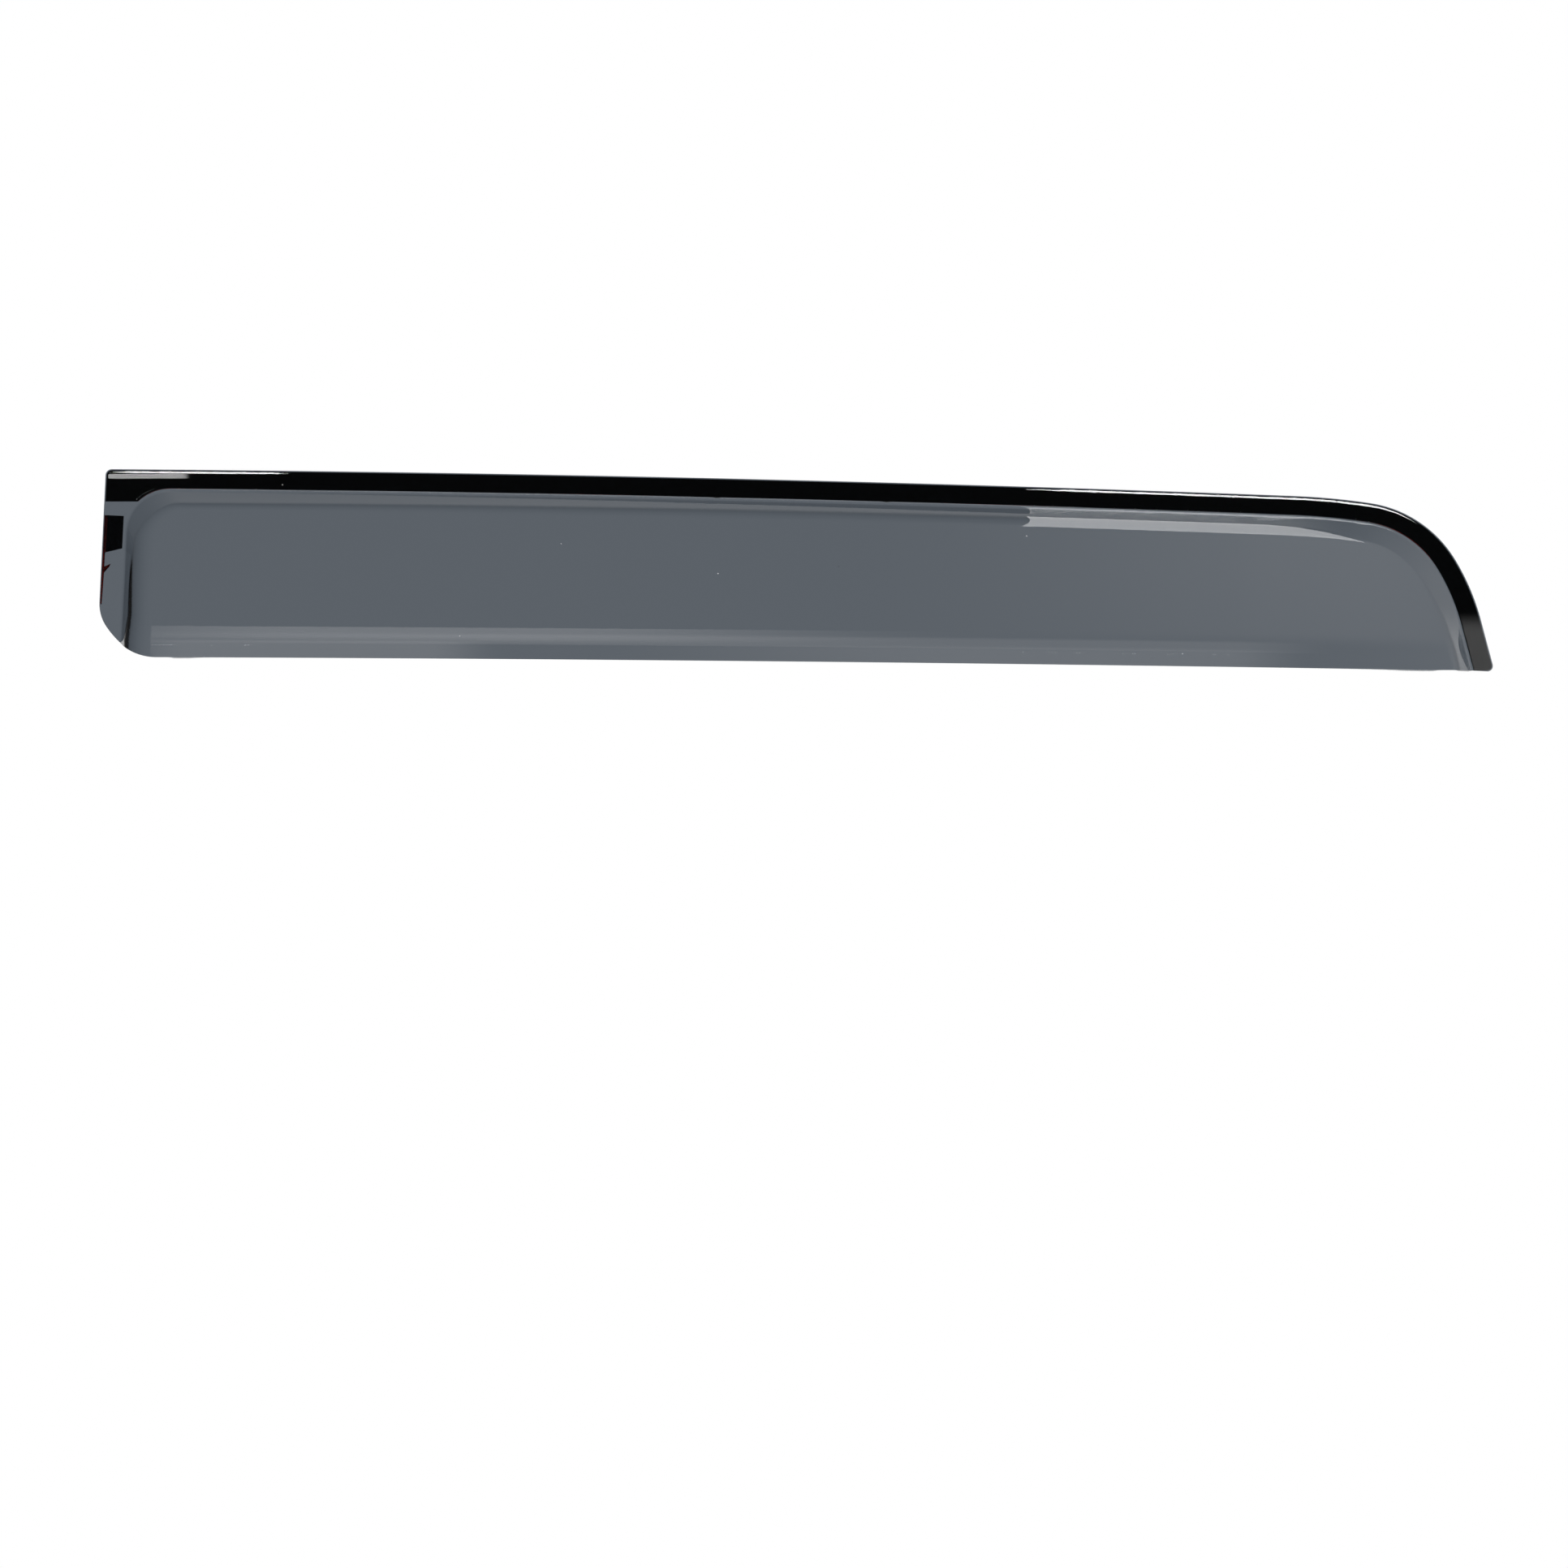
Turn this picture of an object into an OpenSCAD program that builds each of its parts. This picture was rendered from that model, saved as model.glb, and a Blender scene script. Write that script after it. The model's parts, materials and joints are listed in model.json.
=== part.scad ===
// Window rain deflector for the right-hand edge of a door frame: one moulded shell of smoked
// acrylic, held by two strips of foam tape that still wear their red release film.
// The deflector is drawn as it hangs on a door. +X runs forward along the window's upper edge,
// +Z is up and the door's face is the plane y = 0, so the shell bulges towards -Y.
// The origin is on the back of the top tape's film, halfway along the deflector.

/* [Top edge] */
// Distance along the top edge from the origin back to the rear corner
rear_reach = 356.6; // [250:1:450]
// Distance along the top edge from the origin to the start of the front bend
front_reach = 258; // [180:1:350]
// Radius of the long, nearly straight top edge
top_r = 19500; // [12000:500:40000]
// Downward slope of the top edge at the origin, in degrees
top_fall = 1.44; // [1:0.02:2]

/* [Front bend] */
// Radius of the ease into the front bend
lead_in_r = 354; // [250:1:450]
// Turn of the ease into the front bend, in degrees
lead_in_turn = 6.4; // [4:0.1:8]
// Radius of the front bend itself
bend_r = 61.7; // [50:0.1:80]
// Turn of the front bend, in degrees
bend_turn = 50; // [42:0.5:54]
// Radius of the ease out of the front bend
lead_out_r = 118; // [90:1:150]
// Turn of the ease out of the front bend, in degrees
lead_out_turn = 16.5; // [12:0.5:18]
// Radius of the lower front corner
tip_r = 2.5; // [1.5:0.1:4]

/* [Rear end] */
// Lean of the rear edge from upright, in degrees
rear_lean = 2.75; // [0:0.05:5]
// Radius of the upper rear corner
rear_corner_r = 3; // [1.5:0.1:6]
// Height of the rear edge from the upper corner to the cut-away lower corner
rear_edge_h = 68.6; // [60:0.1:75]
// Radius where the rear edge turns into the lower corner
lower_upper_r = 20.3; // [15:0.1:25]
// Turn of that radius, in degrees
lower_upper_turn = 36; // [30:0.5:40]
// Radius of the flatter middle of the lower corner
lower_middle_r = 44.6; // [35:0.1:55]
// Turn of that flatter middle, in degrees
lower_middle_turn = 15; // [10:0.5:20]
// Radius where the lower corner runs into the bottom edge
lower_bottom_r = 29.4; // [22:0.1:35]

/* [Bottom edge] */
// Downward slope of the bottom edge at its rear, in degrees
bottom_fall = 0.2; // [0:0.05:0.6]
// Radius of the long bottom edge
bottom_r = 50000; // [35000:1000:90000]

/* [Flange] */
// Width of the flange along the top and the front
flange_w = 10; // [8:0.1:13]
// Width of the flange along the rear edge
rear_flange_w = 10.6; // [9.5:0.1:14]
// Radius of the flange's inner upper rear corner
flange_corner_r = 24; // [18:0.5:28]

/* [Moulded sheet] */
// Thickness of the acrylic sheet
sheet_t = 2.5; // [1.8:0.1:2.6]
// Radius from the flange up into the wall, on the outer face
foot_r = 1.5; // [1:0.1:2.5]
// Width of the wall, in plan, along the top
shoulder_w = 10.5; // [9.5:0.1:14]
// Width of the wall, in plan, at the rear end
rear_shoulder_w = 17.4; // [15:0.1:22]
// Radius of the plan corner where the top and rear walls meet the panel
panel_corner_r = 14; // [10:0.5:18]
// Radius from the top wall over into the panel, on the outer face
crown_r = 10; // [6:0.1:10.5]
// Radius from the rear wall over into the panel, on the outer face
rear_crown_r = 15.5; // [8:0.1:15.5]
// Radius from the front wall over into the panel, on the outer face
front_crown_r = 9; // [6:0.1:11]
// Rise of the panel above the flange at the foot of the top wall
shoulder_h = 9; // [8:0.1:10]
// Outward slope of the panel, in degrees
panel_slope = 12; // [8:0.5:14]
// Height of the lip along the bottom that curves back to the door
lip_h = 17; // [10:0.5:20]
// Radius of that lip
lip_r = 57; // [45:1:90]
// Length of the front end over which the panel curves back to the door
nose_l = 134; // [100:1:180]
// Radius of that curve
nose_r = 600; // [500:10:1200]
// How far the sheet's polished edge rounds out past its two faces
edge_round = 0.4; // [0.2:0.05:0.6]

/* [Tape and film] */
// Thickness of the foam tape
tape_t = 1.1; // [0.8:0.1:1.6]
// Distance of the top tape from the edges of the flange
tape_margin = 0.5; // [0.3:0.1:1]
// Depth of the top tape below the top edge at its rear end
top_tape_drop = 16.4; // [12:0.1:18]
// Gap between the two tapes
tape_gap = 7; // [4:0.1:12]
// Length of the rear tape
rear_tape_l = 19.2; // [12:0.1:25]
// Width of the rear tape
rear_tape_w = 8.3; // [6:0.1:8.8]
// Distance of the rear tape from the rear edge
rear_tape_inset = 1.7; // [1:0.1:2.2]
// Height lost across the rear tape where its lower end was snipped
rear_tape_snip = 2.4; // [0:0.1:4]
// Thickness of the red release film
film_t = 0.1; // [0.08:0.01:0.2]
// Width of the film's tail along the rear edge
tail_w = 1.2; // [0.8:0.1:2]
// Length of the film's tail below the rear tape
tail_l = 27; // [15:0.5:34]
// Length of the torn barb on that tail
barb_l = 3.2; // [2:0.1:5]

/* [Hidden] */

acrylic_colour = "#5f636a";
foam_colour = "#16161a";
film_colour = "#c8321e";

// Steps along each stretch of the outline, in the order that layer() gives them
stretch_steps = [12, 9, 26, 5, 18, 7, 6, 3];
CORNER = 1;
TOP = 2;
BEND = 4;
// Steps from the edge inwards: flange, fillet, crown, flat of the panel and lip
flange_steps = 7;
foot_steps = 3;
crown_steps = 8;
panel_steps = 5;
lip_steps = 7;

// How far the panel's rungs lean in along the bottom edge: at its two ends, and where they
// come from the ends of the top wall
end_rung = 14;
corner_rung = 44;
front_rung = 84;

function degrees_along(length, radius) = length / radius * 180 / PI;
function mix(a, b, f) = a + (b - a) * f;
function flat(lists) = [for (l = lists) each l];

// A place on a path is [x, z, heading]; a heading grows as the path turns clockwise.
// A stretch is [radius, turn] for an arc, or [0, length] for a straight.
function step(p, stretch, f = 1) =
    stretch[0] == 0
    ? [p[0] + f * stretch[1] * cos(p[2]), p[1] - f * stretch[1] * sin(p[2]), p[2]]
    : let (h = p[2] + f * stretch[1])
      [p[0] + stretch[0] * (sin(h) - sin(p[2])), p[1] + stretch[0] * (cos(h) - cos(p[2])), h];
function starts(p, path, i = 0) =
    i == len(path) ? [p] : concat([p], starts(step(p, path[i]), path, i + 1));
function stretch_length(s) = s[0] == 0 ? s[1] : abs(s[0] * s[1]) * PI / 180;
function path_length(path, i = 0) =
    i == len(path) ? 0 : stretch_length(path[i]) + path_length(path, i + 1);
function along(p, path, s, i = 0) =
    let (l = stretch_length(path[i]))
    s <= l || i == len(path) - 1 ? step(p, path[i], s / l)
                                 : along(step(p, path[i]), path, s - l, i + 1);

// The upper rear corner before it is rounded, and the headings of the edges that meet there
rear_turn = degrees_along(rear_reach, top_r);
top_heading = top_fall - rear_turn;
rear_heading = rear_lean - 90;
rear_corner = step([0, flange_w / 2, top_fall], [top_r, -rear_turn]);
front_heading = top_fall + degrees_along(front_reach, top_r);
corner_angle = 90 + rear_lean - top_heading;

// Bottom edge, from the foot of the rear edge round the lower corner to past the front
bottom_turn = degrees_along(rear_reach + front_reach + lead_in_r, bottom_r);
rail_start = step([rear_corner[0], rear_corner[1], 90 + rear_lean], [0, rear_edge_h]);
rail = [[-lower_upper_r, -lower_upper_turn],
        [-lower_middle_r, -lower_middle_turn],
        [-lower_bottom_r, bottom_fall - 90 - rear_lean + lower_upper_turn + lower_middle_turn],
        [bottom_r, bottom_turn]];
function on_rail(s) = along(rail_start, rail, s);

// Distance along the bottom edge at which it crosses the line through p with p's heading
function side(p, q) = cos(p[2]) * (q[1] - p[1]) + sin(p[2]) * (q[0] - p[0]);
function crossing(p, lo = 0, hi = path_length(rail), tries = 40) =
    let (mid = (lo + hi) / 2, same = side(p, on_rail(mid)) * side(p, on_rail(hi)) > 0)
    tries == 0 ? mid : crossing(p, same ? lo : mid, same ? mid : hi, tries - 1);
function distance_to_rail(p) = let (q = on_rail(crossing(p))) norm([q[0] - p[0], q[1] - p[1]]);

// Outline moved in by w along the top and front, and by w_rear along the rear edge.
// It is a start and eight stretches: rear edge, corner, top, ease in, bend, ease out, front, tip.
function layer(w, w_rear, r) =
    let (corner = step(step([rear_corner[0], rear_corner[1], top_heading],
                            [0, w_rear / sin(corner_angle)])
                       + [0, 0, corner_angle], [0, w / sin(corner_angle)]),
         reach = r * tan((180 - corner_angle) / 2),
         rear_line = [corner[0], corner[1], rear_heading],
         start = on_rail(crossing(rear_line)),
         edge_h = norm([corner[0] - start[0], corner[1] - start[1]]) - reach,
         top_start = top_heading + degrees_along(w_rear + reach, top_r),
         curves = [[0, edge_h],
                   [r, top_start - rear_heading],
                   [top_r - w, front_heading - top_start],
                   [lead_in_r - w, lead_in_turn],
                   [bend_r - w, bend_turn],
                   [lead_out_r - w, lead_out_turn]],
         foot = [start[0], start[1], rear_heading],
         bend_end = starts(foot, curves)[len(curves)],
         rail_heading = on_rail(crossing(bend_end))[2],
         tip_turn = 180 + rail_heading - bend_end[2],
         tip_reach = tip_r * tan(tip_turn / 2),
         tip = w < tip_r ? [tip_r - w, tip_turn] : [0, tip_reach])
    [foot, concat(curves, [[0, distance_to_rail(bend_end) - tip_reach], tip])];

// Places where the rungs of the shell leave each layer: [stretch, fraction along it]
stations = concat(flat([for (g = [0:len(stretch_steps) - 1])
                           [for (k = [0:stretch_steps[g] - 1]) [g, k / stretch_steps[g]]]]),
                  [[len(stretch_steps) - 1, 1]]);
function places(l) = let (s = starts(l[0], l[1])) [for (p = stations) step(s[p[0]], l[1][p[0]], p[1])];
function plan(p) = [p[0], p[1]];

outline_layer = layer(0, 0, rear_corner_r);
flange_layer = layer(flange_w, rear_flange_w, flange_corner_r);
crown_layer = layer(flange_w + shoulder_w, rear_flange_w + rear_shoulder_w, panel_corner_r);
outline_line = places(outline_layer);
flange_line = places(flange_layer);
crown_line = places(crown_layer);
last = len(stations) - 1;

// Length along the crown line at a station, and the foot of its rung on the bottom edge
function run_to(l, p) =
    (p[0] == 0 ? 0 : path_length([for (g = [0:p[0] - 1]) l[1][g]]))
    + p[1] * stretch_length(l[1][p[0]]);
rail_at_flange = crossing(flange_line[0]);
rail_at_crown = crossing(crown_line[0]);
rail_at_front = crossing(crown_line[last]);
rung_feet = [[0, rail_at_crown + end_rung],
             [run_to(crown_layer, [TOP, 0]), rail_at_crown + corner_rung],
             [run_to(crown_layer, [TOP, 1]), rail_at_front - front_rung],
             [path_length(crown_layer[1]), rail_at_front - end_rung]];
rail_places = [for (p = stations) lookup(run_to(crown_layer, p), rung_feet)];

// Height of the panel above the flange at a point of the plan
function circle_z(p, r, x) =
    let (cx = p[0] - r * sin(p[2]), cz = p[1] - r * cos(p[2])) cz + sqrt(r * r - (x - cx) * (x - cx));
function arc_drop(into, r) = into > 0 ? r - sqrt(r * r - into * into) : 0;
function panel_height(x, z) =
    let (below = circle_z([0, flange_w / 2, top_fall], top_r, x) - z - flange_w - shoulder_w,
         bottom = circle_z(starts(rail_start, rail)[3], bottom_r, x),
         into_nose = x - outline_line[last][0] + nose_l)
    shoulder_h + below * tan(panel_slope)
    - arc_drop(min(lip_h, lip_h - (z - bottom)), lip_r) - arc_drop(into_nose, nose_r);

// Radius of the crown at a station, which changes round the rear corner and the front bend
function crown_at(p) =
    p[0] < CORNER ? rear_crown_r
    : p[0] == CORNER ? mix(rear_crown_r, crown_r, p[1])
    : p[0] < BEND ? crown_r
    : p[0] == BEND ? mix(crown_r, front_crown_r, p[1])
    : front_crown_r;

// Section of the wall at a station, as [share of its width, height] from flange to panel:
// a fillet, a straight at the one angle that meets both, and a crown that ends at the panel's slope.
// The crown is no larger than the wall has room for.
function wall_section(i) =
    let (a = plan(crown_line[i]),
         wall = a - plan(flange_line[i]),
         width = norm(wall),
         height = panel_height(a[0], a[1]),
         probe = a + wall / width,
         slope = atan(panel_height(probe[0], probe[1]) - height),
         r = min(crown_at(stations[i]), (width - foot_r) / (1 - sin(slope))),
         across = width + r * sin(slope),
         up = height - foot_r - r * cos(slope),
         angle = asin((foot_r + r) / norm([across, up])) + atan2(up, across))
    concat([for (k = [1:foot_steps]) let (t = angle * k / foot_steps)
               [foot_r * sin(t) / width, foot_r * (1 - cos(t))]],
           [for (k = [0:crown_steps]) let (t = mix(angle, slope, k / crown_steps))
               [1 + r * (sin(slope) - sin(t)) / width, height - r * (cos(slope) - cos(t))]]);

// One rung of the outer face, from the edge of the flange to the bottom edge. The first rung
// runs along the bottom edge itself, round the lower corner.
function between(i, a, b, rail_a, rail_b, f) =
    i == 0 ? plan(on_rail(mix(rail_a, rail_b, f))) : mix(plan(a), plan(b), f);
function panel_fraction(k) =
    let (lip_share = lip_h / (rear_edge_h - shoulder_w))
    k <= panel_steps ? (1 - lip_share) * k / panel_steps
                     : 1 - lip_share * (panel_steps + lip_steps - k) / lip_steps;
function lift(p, height) = [p[0], -(film_t + tape_t + sheet_t + height), p[1]];
function rung(i) =
    let (foot = on_rail(rail_places[i]))
    concat([for (k = [0:flange_steps])
               lift(between(i, outline_line[i], flange_line[i], 0, rail_at_flange, k / flange_steps), 0)],
           [for (w = wall_section(i))
               lift(between(i, flange_line[i], crown_line[i], rail_at_flange, rail_at_crown, w[0]), w[1])],
           [for (k = [1:panel_steps + lip_steps])
               let (q = between(i, crown_line[i], foot, rail_at_crown, rail_places[0], panel_fraction(k)))
               lift(q, panel_height(q[0], q[1]))]);

// Skin of the shell with its unit normals, and the closed walk round its edge
skin = [for (i = [0:last]) rung(i)];
rows = len(skin[0]);
function unit(v) = v / norm(v);
function panel_normal(p) =
    let (h = panel_height(p[0], p[2]))
    unit([h - panel_height(p[0] + 1, p[2]), -1, h - panel_height(p[0], p[2] + 1)]);
function skin_normal(i, j) =
    j <= flange_steps ? [0, -1, 0]
    : j >= rows - 1 - panel_steps - lip_steps ? panel_normal(skin[i][j])
    : unit(cross(skin[i][j + 1] - skin[i][j - 1],
                 skin[min(i + 1, last)][j] - skin[max(i - 1, 0)][j]));
normals = [for (i = [0:last]) [for (j = [0:rows - 1]) skin_normal(i, j)]];
border = concat([for (i = [0:last]) [i, 0]],
                [for (j = [1:rows - 1]) [last, j]],
                [for (i = [last - 1:-1:0]) [i, rows - 1]],
                [for (j = [rows - 2:-1:1]) [0, j]]);
function skin_at(p) = skin[p[0]][p[1]];
function normal_at(p) = normals[p[0]][p[1]];
function outwards(k) =
    let (n = len(border), a = skin_at(border[(k + n - 1) % n]), b = skin_at(border[(k + 1) % n]))
    unit(cross(normal_at(border[k]), b - a));
border_out = [for (k = [0:len(border) - 1]) outwards(k)];

// The sheet at a depth below its outer skin: its whole face, or its rounded rim
function face_points(depth) = flat(skin - depth * normals);
function rim_points(depth) = [for (k = [0:len(border) - 1])
    skin_at(border[k]) - depth * normal_at(border[k]) + edge_round * border_out[k]];

function face_triangles(first, flip) = flat([for (i = [0:last - 1]) flat([for (j = [0:rows - 2])
    let (a = first + i * rows + j, b = a + rows)
    flip ? [[a, b, b + 1], [a, b + 1, a + 1]] : [[a, b + 1, b], [a, a + 1, b + 1]]])]);
function strip_triangles(upper, lower) = flat([for (k = [0:len(border) - 1])
    let (m = (k + 1) % len(border))
    [[upper[k], lower[m], lower[k]], [upper[k], upper[m], lower[m]]]]);

// Moulded acrylic shell: flange, walls and panel as one sheet of constant thickness
module visor_shell() {
    count = len(skin) * rows;
    ring = len(border);
    outer_ring = [for (p = border) p[0] * rows + p[1]];
    inner_ring = [for (p = border) count + p[0] * rows + p[1]];
    upper_rim = [for (k = [0:ring - 1]) 2 * count + k];
    lower_rim = [for (k = [0:ring - 1]) 2 * count + ring + k];
    color(acrylic_colour)
        polyhedron(points = concat(face_points(0), face_points(sheet_t),
                                   rim_points(edge_round), rim_points(sheet_t - edge_round)),
                   faces = concat(face_triangles(0, false), face_triangles(count, true),
                                  strip_triangles(outer_ring, upper_rim),
                                  strip_triangles(upper_rim, lower_rim),
                                  strip_triangles(lower_rim, inner_ring)));
}

// Stands a drawing of the plan against the door's face, or off it by some distance
module against_door(t, off = 0) {
    translate([0, -off, 0]) rotate([90, 0, 0]) linear_extrude(t) children();
}

// Top tape: fills the flange along the top and down the front, cut level at the rear corner
module top_tape_plan() {
    outer = places(layer(tape_margin, tape_margin, rear_corner_r - tape_margin));
    inner = places(layer(flange_w - tape_margin, rear_flange_w - tape_margin,
                         flange_corner_r + tape_margin));
    reach = rear_flange_w + flange_corner_r;
    difference() {
        polygon([for (p = outer) plan(p), for (i = [last:-1:0]) plan(inner[i])]);
        translate([rear_corner[0] - reach, rear_corner[1] - top_tape_drop - 2 * rear_edge_h])
            square([2 * reach, 2 * rear_edge_h]);
    }
}

// Places its drawing on the rear edge: x is the distance from that edge, y is down along it
module on_rear_edge() {
    translate(plan(rear_corner)) rotate(-rear_lean) mirror([0, 1]) children();
}

// Rear tape: a short piece with a snipped lower end
rear_tape_top = top_tape_drop + tape_gap;
rear_tape_end = rear_tape_top + rear_tape_l;
rear_tape_front = rear_tape_inset + rear_tape_w;
module rear_tape_plan() {
    on_rear_edge() polygon([[rear_tape_inset, rear_tape_top], [rear_tape_front, rear_tape_top],
                            [rear_tape_front, rear_tape_end - rear_tape_snip],
                            [rear_tape_inset, rear_tape_end]]);
}

// Film of the rear tape: it reaches the rear edge, and below the tape it goes on as a thin tail
// with a torn barb
module rear_film_plan() {
    barb = rear_tape_end + tail_l / 3;
    on_rear_edge() polygon([[0, rear_tape_top], [rear_tape_front, rear_tape_top],
                            [rear_tape_front, rear_tape_end - rear_tape_snip],
                            [rear_tape_inset, rear_tape_end], [tail_w, rear_tape_end],
                            [tail_w, barb - barb_l / 2], [tail_w + barb_l, barb - barb_l],
                            [tail_w + barb_l * 0.8, barb - barb_l / 2], [tail_w, barb + barb_l / 2],
                            [tail_w, rear_tape_end + tail_l], [0, rear_tape_end + tail_l]]);
}

module top_tape() {
    color(foam_colour) against_door(tape_t, film_t) top_tape_plan();
}

module rear_tape() {
    color(foam_colour) against_door(tape_t, film_t) rear_tape_plan();
}

module top_tape_liner() {
    color(film_colour) against_door(film_t) top_tape_plan();
}

module rear_tape_liner() {
    color(film_colour) against_door(film_t) rear_film_plan();
}

visor_shell();
top_tape();
rear_tape();
top_tape_liner();
rear_tape_liner();
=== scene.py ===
"""Window rain deflector: smoked acrylic shell, foam tape and red release film, in a white studio.

Every length below is in millimetres until a mesh is placed, and the plan of the deflector is
drawn in x (forward along the window) and z (up). The door's face is the plane y = 0.
"""

from __future__ import annotations

import json
import logging
import math
from dataclasses import dataclass, field
from enum import IntEnum
from typing import Any, Callable, NamedTuple

import bmesh
import bpy
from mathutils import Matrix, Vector

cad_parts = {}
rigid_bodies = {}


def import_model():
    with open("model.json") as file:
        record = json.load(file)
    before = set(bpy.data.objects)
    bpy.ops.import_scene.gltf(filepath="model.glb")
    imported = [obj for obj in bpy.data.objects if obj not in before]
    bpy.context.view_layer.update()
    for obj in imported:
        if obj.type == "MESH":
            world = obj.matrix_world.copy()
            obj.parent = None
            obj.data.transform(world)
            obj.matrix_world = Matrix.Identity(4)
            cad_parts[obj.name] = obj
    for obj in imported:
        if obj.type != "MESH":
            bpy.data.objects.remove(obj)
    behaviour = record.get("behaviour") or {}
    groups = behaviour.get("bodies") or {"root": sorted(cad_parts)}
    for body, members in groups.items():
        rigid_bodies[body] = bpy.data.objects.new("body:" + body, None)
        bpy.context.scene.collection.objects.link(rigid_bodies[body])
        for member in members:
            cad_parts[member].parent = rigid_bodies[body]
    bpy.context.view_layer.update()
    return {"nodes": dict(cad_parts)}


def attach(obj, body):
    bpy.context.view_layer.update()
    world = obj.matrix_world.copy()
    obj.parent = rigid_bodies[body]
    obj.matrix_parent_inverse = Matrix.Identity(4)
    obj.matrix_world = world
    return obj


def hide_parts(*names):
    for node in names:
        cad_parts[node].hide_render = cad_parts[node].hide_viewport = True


LOG = logging.getLogger("rain_deflector")
MM = 0.001
BODY = "root"
HALVINGS = 44
SHARP_EDGE = 50.0


def linear(hex_colour: str) -> tuple[float, float, float, float]:
    """Turns an sRGB hex colour into the linear RGBA that a shader takes.

    Args:
        hex_colour: Six hex digits, without a leading mark.

    Returns:
        Red, green, blue and an alpha of 1.
    """
    values = [int(hex_colour[i : i + 2], 16) / 255 for i in (0, 2, 4)]
    curved = [v / 12.92 if v <= 0.04045 else ((v + 0.055) / 1.055) ** 2.4 for v in values]
    return (curved[0], curved[1], curved[2], 1.0)


def mix(a: float, b: float, share: float) -> float:
    """Value a given share of the way from a to b."""
    return a + (b - a) * share


class Edge(IntEnum):
    """The stretches of an outline, in the order in which it is walked."""

    REAR = 0
    CORNER = 1
    TOP = 2
    EASE_IN = 3
    BEND = 4
    EASE_OUT = 5
    FRONT = 6
    TIP = 7


class Place(NamedTuple):
    """A point of the plan, and the heading there, which grows as a path turns clockwise."""

    x: float
    z: float
    heading: float = 0.0


@dataclass(frozen=True)
class Stretch:
    """One arc of a path, or a straight where the radius is 0.

    Attributes:
        radius: Radius of the arc, negative where it turns anticlockwise.
        measure: Degrees that the arc turns, or the straight's length.
    """

    radius: float
    measure: float

    @property
    def length(self) -> float:
        """Length of the stretch."""
        return abs(self.radius * math.radians(self.measure)) if self.radius else self.measure

    def step(self, start: Place, share: float = 1.0) -> Place:
        """Walks a share of the stretch.

        Args:
            start: Where the stretch begins.
            share: How much of it is walked, from 0 to 1.

        Returns:
            The place that is reached.
        """
        old = math.radians(start.heading)
        if not self.radius:
            run = share * self.measure
            return start._replace(x=start.x + run * math.cos(old), z=start.z - run * math.sin(old))
        heading = start.heading + share * self.measure
        new = math.radians(heading)
        return Place(
            start.x + self.radius * (math.sin(new) - math.sin(old)),
            start.z + self.radius * (math.cos(new) - math.cos(old)),
            heading,
        )


class Path:
    """A chain of stretches from a starting place."""

    def __init__(self, start: Place, stretches: list[Stretch]) -> None:
        """Keeps the stretches and works out where each begins.

        Args:
            start: Where the path begins.
            stretches: Its stretches in order.
        """
        self.stretches = stretches
        self.starts = [start]
        for stretch in stretches:
            self.starts.append(stretch.step(self.starts[-1]))

    @property
    def length(self) -> float:
        """Length of the whole path."""
        return sum(s.length for s in self.stretches)

    def on(self, edge: int, share: float) -> Place:
        """Place a share of the way along one stretch."""
        return self.stretches[edge].step(self.starts[edge], share)

    def run_to(self, edge: int, share: float) -> float:
        """Distance from the path's start to a share of the way along one stretch."""
        return sum(s.length for s in self.stretches[:edge]) + share * self.stretches[edge].length

    def along(self, distance: float) -> Place:
        """Walks a distance from the path's start.

        Args:
            distance: How far, in millimetres.

        Returns:
            The place that is reached, on the last stretch's own curve beyond its end.
        """
        for edge, stretch in enumerate(self.stretches):
            if distance <= stretch.length or edge == len(self.stretches) - 1:
                return self.on(edge, distance / stretch.length)
            distance -= stretch.length
        return self.starts[-1]


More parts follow.
